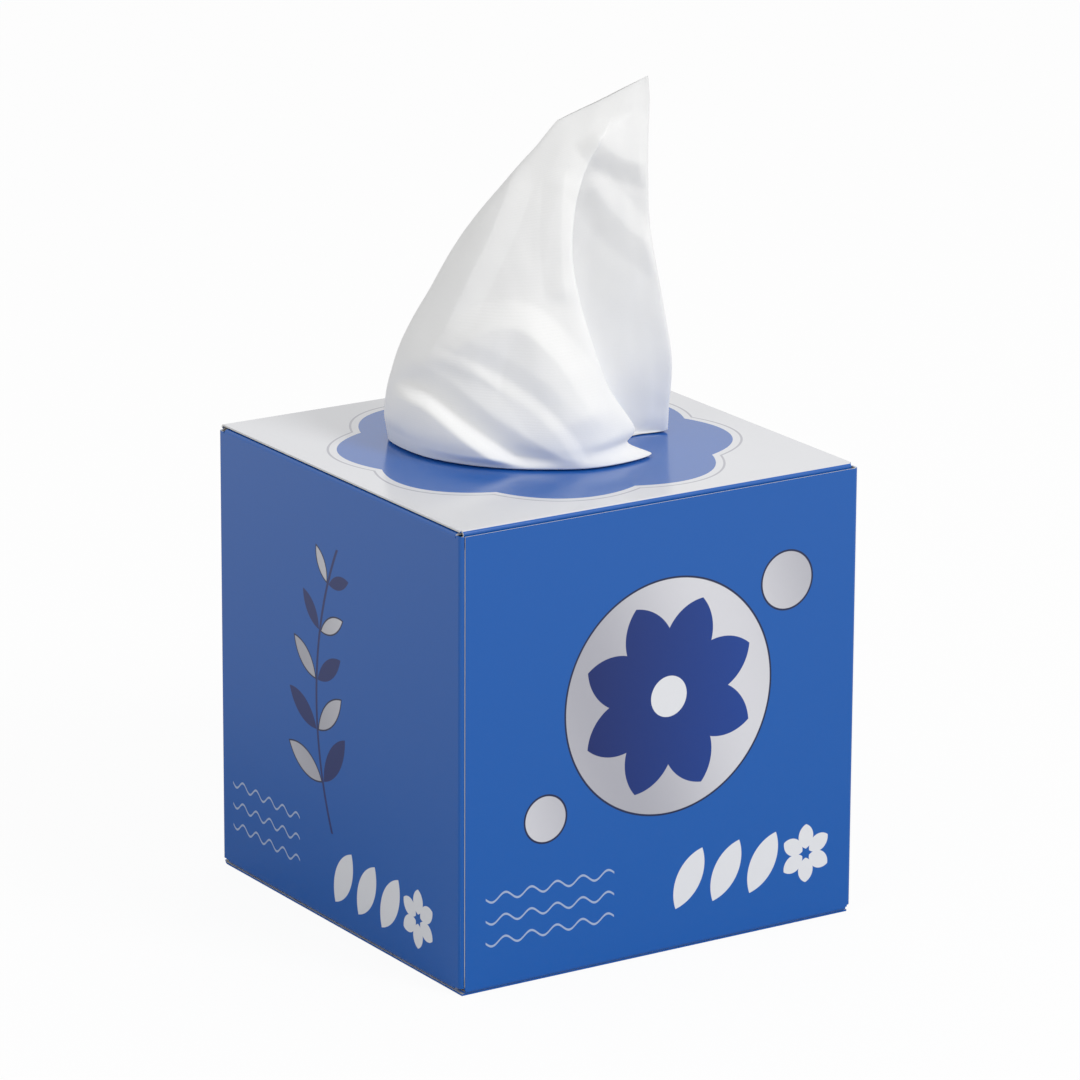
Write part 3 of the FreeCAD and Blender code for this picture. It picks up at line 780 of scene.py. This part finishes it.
def along_line(points, right, up):
    """Each place's distance from the line, positive above it, and its share of the line's way."""
    line = smooth_through(np.array(points, float), 12)
    steps = np.diff(line, axis=0)
    lengths = np.hypot(*steps.T)
    travelled = np.concatenate([[0], np.cumsum(lengths)])
    nearest = np.full(right.shape, 1e9)
    share = np.zeros(right.shape)
    for start, step, length, done in zip(line, steps, lengths, travelled):
        x, y = right - start[0], up - start[1]
        t = np.clip((x * step[0] + y * step[1]) / length ** 2, 0, 1)
        apart = np.hypot(x - t * step[0], y - t * step[1])
        side = np.sign(step[0] * y - step[1] * x)
        closer = apart < np.abs(nearest)
        nearest = np.where(closer, apart * np.where(side == 0, 1, side), nearest)
        share = np.where(closer, (done + t * length) / travelled[-1], share)
    return nearest, share


def relief(folds, right, up):
    """How far the sheet stands towards the camera at each place, all folds together."""
    total = np.zeros(right.shape)
    for line, height, above, below in folds:
        apart, share = along_line(line, right, up)
        width = np.where(apart > 0, above, below)
        near = np.clip(1 - np.abs(apart) / width, 0, 1)
        crest = CRISP * near + (1 - CRISP) * near * near * (3 - 2 * near)
        total += height * ramp(np.minimum(share, 1 - share), 0, END_FADE) * crest
    return total


def fold_sail(sail):
    right, away, up = sail[..., 0], sail[..., 1], sail[..., 2]
    seen_up = up + LOOK_DOWN * away
    column = np.arange(sail.shape[1]) / SPREAD
    front = ramp(column, LEFT_SIDE - 0.3, LEFT_SIDE + 1.0)
    front = front * (1 - ramp(column, SHARP_FOLD - 0.1, SHARP_FOLD + 0.5))
    tip = ramp(column, LEFT_SIDE, LEFT_SIDE + 2.0) * (1 - ramp(column, RIGHT_SIDE - 0.6, RIGHT_SIDE))
    hem = ramp(up, *HEM_FADE)
    moved = sail.copy()
    moved[..., 1] -= front * hem * relief(FOLDS, right, seen_up)
    moved[..., 1] -= tip * relief(TIP_FOLDS, right, seen_up)
    return moved


sail = fold_sail(sail)
print(f"{len(FOLDS) + len(TIP_FOLDS)} folds laid")

# %% [markdown]
# ## Neck and tail
# At the lid the sheet turns in under its own bulge, is gathered in the opening, and spreads out
# again over the pile. Nobody sees the tail while the lid is shut, but when it opens the tail hangs
# under it. The pleats round the neck are a wave on the radius, and those of the tail a wave on
# the height.

# %% Neck and tail
PLEATS = 15
PLEAT_DEPTH = 0.7                  # mm, how far a pleat stands in from the neck
NECK_REACH, NECK_SPIRAL = 22.5, 1.0    # mm, the neck's radius, and how much less at the inner edge
# From the hem inwards: the share of the way to the neck, and the height over the lid
NECK_STEPS = [(0.06, 0.42), (0.25, 0.3), (0.6, 0.28), (0.9, 0.26), (1.0, 0.1), (1.0, -0.5)]
TAIL_SWING = 2.1                   # mm, the height of the tail's pleats


def to_frame(right, away, up):
    """From the sail's own directions to X, Y and Z, in millimetres."""
    cos, sin = math.cos(SAIL_TURN), math.sin(SAIL_TURN)
    return np.stack([right * cos - away * sin, right * sin + away * cos, up + LID_TOP], -1)


def neck_rows(sail, angles):
    """From the sail's hem in to the neck, in the sail's frame."""
    share = np.linspace(0, 1, len(angles))
    radius = NECK_REACH - NECK_SPIRAL * (1 - share)
    radius = radius - PLEAT_DEPTH * (0.5 - 0.5 * np.cos(PLEATS * angles))
    ring = np.stack([radius * np.cos(angles), radius * np.sin(angles)], -1)
    hem = sail[0, :, :2]
    rows = []
    for inward, height in NECK_STEPS:
        level = np.full(len(angles), height)
        rows.append(np.column_stack([hem + (ring - hem) * inward, level]))
    return np.array(rows)


def tail_rows(angles):
    """The tail in X, Y and Z."""
    path = smooth_through(np.array(TAIL, float), TAIL_STEPS)
    turned_angles = angles + SAIL_TURN
    share = np.linspace(0, 1, len(angles))
    rows = []
    for number, (half_x, half_y, height) in enumerate(path):
        open_share = number / (len(path) - 1)
        swing = TAIL_SWING * min(1, open_share * 5)
        wobble = 0.5 * np.sin(3 * angles + 9 * open_share)
        wave_height = swing * np.sin(PLEATS * angles + wobble)
        shrink = 1 - 0.045 * (1 - share) - 0.02 * np.cos(PLEATS * angles)
        rows.append(np.stack([
            half_x * shrink * np.cos(turned_angles),
            half_y * shrink * np.sin(turned_angles),
            LID_TOP + height + wave_height,
        ], -1))
    return np.array(rows)


angles = ring_directions()
upper = to_frame(sail[..., 0], sail[..., 1], sail[..., 2])
under = neck_rows(sail, angles)
under = to_frame(under[..., 0], under[..., 1], under[..., 2])
below = tail_rows(angles)
sheet_rows = np.concatenate([below[::-1], under[::-1], upper])
print(f"sheet grid {sheet_rows.shape[0]} x {sheet_rows.shape[1]}")

# %% [markdown]
# A grid from bmesh gives the faces, and each of its points is then put where the rows say. The
# sheet's map holds the distance along and up the sheet in metres, which the crepe ripples follow.
# Small random waves, the same at every run, take the machine-made smoothness away.

# %% The sheet itself
FLAT_WIDTH, FLAT_LENGTH = 0.208, 0.200     # m, the tissue laid out flat


def rumple(rows):
    """Small soft waves all over, stronger higher up, none where the neck passes the opening."""
    moved = rows.copy()
    for i, row in enumerate(rows):
        for j, point in enumerate(row):
            height = point[2] - LID_TOP
            amount = min(max(height - 1, 0) / 12, 1)
            if amount:
                place = Vector(point) / 1000
                stretched = Vector((place.x, place.y, place.z * 0.55))
                wide_waves = noise.noise(stretched * 95) * 0.75
                small_waves = noise.noise(stretched * 230 + Vector((9, 0, 0))) * 0.28
                side_waves = noise.noise(stretched * 120 + Vector((0, 5, 0)))
                moved[i, j, 1] += (wide_waves + small_waves) * amount * 0.8
                moved[i, j, 0] += side_waves * amount * 0.35
    return moved


def make_standing_tissue(rows):
    tall, wide = rows.shape[:2]
    mesh = bmesh.new()
    bmesh.ops.create_grid(mesh, x_segments=wide - 1, y_segments=tall - 1, size=0.5)
    mesh.verts.ensure_lookup_table()
    sheet_map = mesh.loops.layers.uv.new("sheet")
    place_of = {}
    for v in mesh.verts:
        place_of[v] = (round((v.co.x + 0.5) * (wide - 1)), round((v.co.y + 0.5) * (tall - 1)))
    for face in mesh.faces:
        face.smooth = True
        for loop in face.loops:
            i, j = place_of[loop.vert]
            loop[sheet_map].uv = (i / (wide - 1) * FLAT_WIDTH, j / (tall - 1) * FLAT_LENGTH)
    for v, (i, j) in place_of.items():
        v.co = Vector(rows[j, i]) * MM
    piece = bpy.data.objects.new("standing_tissue", bpy.data.meshes.new("standing_tissue"))
    mesh.to_mesh(piece.data)
    mesh.free()
    bpy.context.scene.collection.objects.link(piece)
    piece.data.materials.append(TISSUE)
    return piece


standing_tissue = make_standing_tissue(rumple(sheet_rows))
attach(standing_tissue, "top")
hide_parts("pulled_tissue")
sheet_area = sum(p.area for p in standing_tissue.data.polygons)
print(f"standing tissue: {len(standing_tissue.data.polygons)} faces, {sheet_area:.4f} m2, "
      f"{sheet_area / (FLAT_WIDTH * FLAT_LENGTH):.2f} of the flat sheet")

# %% [markdown]
# ## Floor and light
# The object stands on a plain white table in a bright tent. The floor is a large disc; part of its
# brightness is its own, for camera, mirror and see-through rays only, so that it looks white
# without lighting the box any more, and it still shows the box's soft shadow. In reflections this
# own brightness grows with the distance from the box, which paints shade on the reflected floor
# near the box, as a table is darker close to the thing that stands on it.

# %% Floor
FLOOR_REACH = 6.0
FLOOR_GLOW = 0.9                   # share of the floor's look that doesn't depend on light
# near the box mirrors get none of the floor's own glow: a painted shade
GLOW_FROM, GLOW_TO = 0.12, 0.56    # m from the box's middle, to where reflected glow starts and is full
GLOW_STRENGTH = 1.04
TABLE_GREY = (0.55, 0.55, 0.55, 1)


def make_floor():
    mesh = bmesh.new()
    bmesh.ops.create_circle(mesh, cap_ends=True, segments=96, radius=FLOOR_REACH)
    floor = bpy.data.objects.new("floor", bpy.data.meshes.new("floor"))
    mesh.to_mesh(floor.data)
    mesh.free()
    material, tree, shader = new_finish("table", roughness=0.7)
    shader.inputs["Base Color"].default_value = TABLE_GREY
    glow = tree.nodes.new("ShaderNodeEmission")
    glow.inputs["Strength"].default_value = GLOW_STRENGTH
    rays = tree.nodes.new("ShaderNodeLightPath")
    (x, y, _), _, _ = places(tree)
    # painted shade: mirrors see the floor's own glow only away from the box
    clear_of_painted_shade = (reach(x, y) * MM).above((GLOW_FROM + GLOW_TO) / 2, GLOW_TO - GLOW_FROM)
    mirrored = Field(tree, rays.outputs["Is Glossy Ray"]) * clear_of_painted_shade
    seen = Field(tree, rays.outputs["Is Camera Ray"])
    seen = seen.most(Field(tree, rays.outputs["Is Transmission Ray"]))
    seen = seen.most(mirrored) * FLOOR_GLOW
    blend = tree.nodes.new("ShaderNodeMixShader")
    tree.links.new(seen.socket, blend.inputs["Fac"])
    tree.links.new(shader.outputs[0], blend.inputs[1])
    tree.links.new(glow.outputs[0], blend.inputs[2])
    tree.links.new(blend.outputs[0], tree.nodes["Material Output"].inputs["Surface"])
    floor.data.materials.append(material)
    bpy.context.scene.collection.objects.link(floor)
    return floor


floor = make_floor()
print(f"floor {2 * FLOOR_REACH:.0f} m across")

# %% [markdown]
# The key light stands high and to the right of the camera, so that the tissue's left side and the
# insides of its folds fall into shade. A weaker, wide light fills in from the left.

# %% Lights and surroundings
TENT_LIGHT = 0.63
AIM = Vector((0, 0, 0.12))         # what both lamps point at


def add_lamp(name, place, size, watts):
    lamp = bpy.data.lights.new(name, "AREA")
    lamp.shape = "DISK"
    lamp.size = size
    lamp.energy = watts
    holder = bpy.data.objects.new(name, lamp)
    holder.location = place
    holder.rotation_mode = "QUATERNION"
    holder.rotation_quaternion = (AIM - Vector(place)).to_track_quat("-Z", "Y")
    bpy.context.scene.collection.objects.link(holder)


add_lamp("key_light", (0.55, -1.45, 1.3), size=0.7, watts=16)
add_lamp("fill_light", (-1.5, -0.6, 0.9), size=1.2, watts=3)

world = bpy.data.worlds.new("tent")
bpy.context.scene.world = world
world.use_nodes = True
tent = world.node_tree
lit = tent.nodes["Background"]
lit.inputs["Color"].default_value = (1, 1, 1, 1)
lit.inputs["Strength"].default_value = TENT_LIGHT
shown = tent.nodes.new("ShaderNodeBackground")
shown.inputs["Color"].default_value = (1, 1, 1, 1)
rays = tent.nodes.new("ShaderNodeLightPath")
seen = Field(tent, rays.outputs["Is Camera Ray"]).most(Field(tent, rays.outputs["Is Glossy Ray"]))
seen = seen.most(Field(tent, rays.outputs["Is Transmission Ray"]))
choose = tent.nodes.new("ShaderNodeMixShader")
tent.links.new(seen.socket, choose.inputs["Fac"])
tent.links.new(lit.outputs[0], choose.inputs[1])
tent.links.new(shown.outputs[0], choose.inputs[2])
tent.links.new(choose.outputs[0], tent.nodes["World Output"].inputs["Surface"])
bpy.context.scene.view_settings.view_transform = "Standard"
print("lights ready")
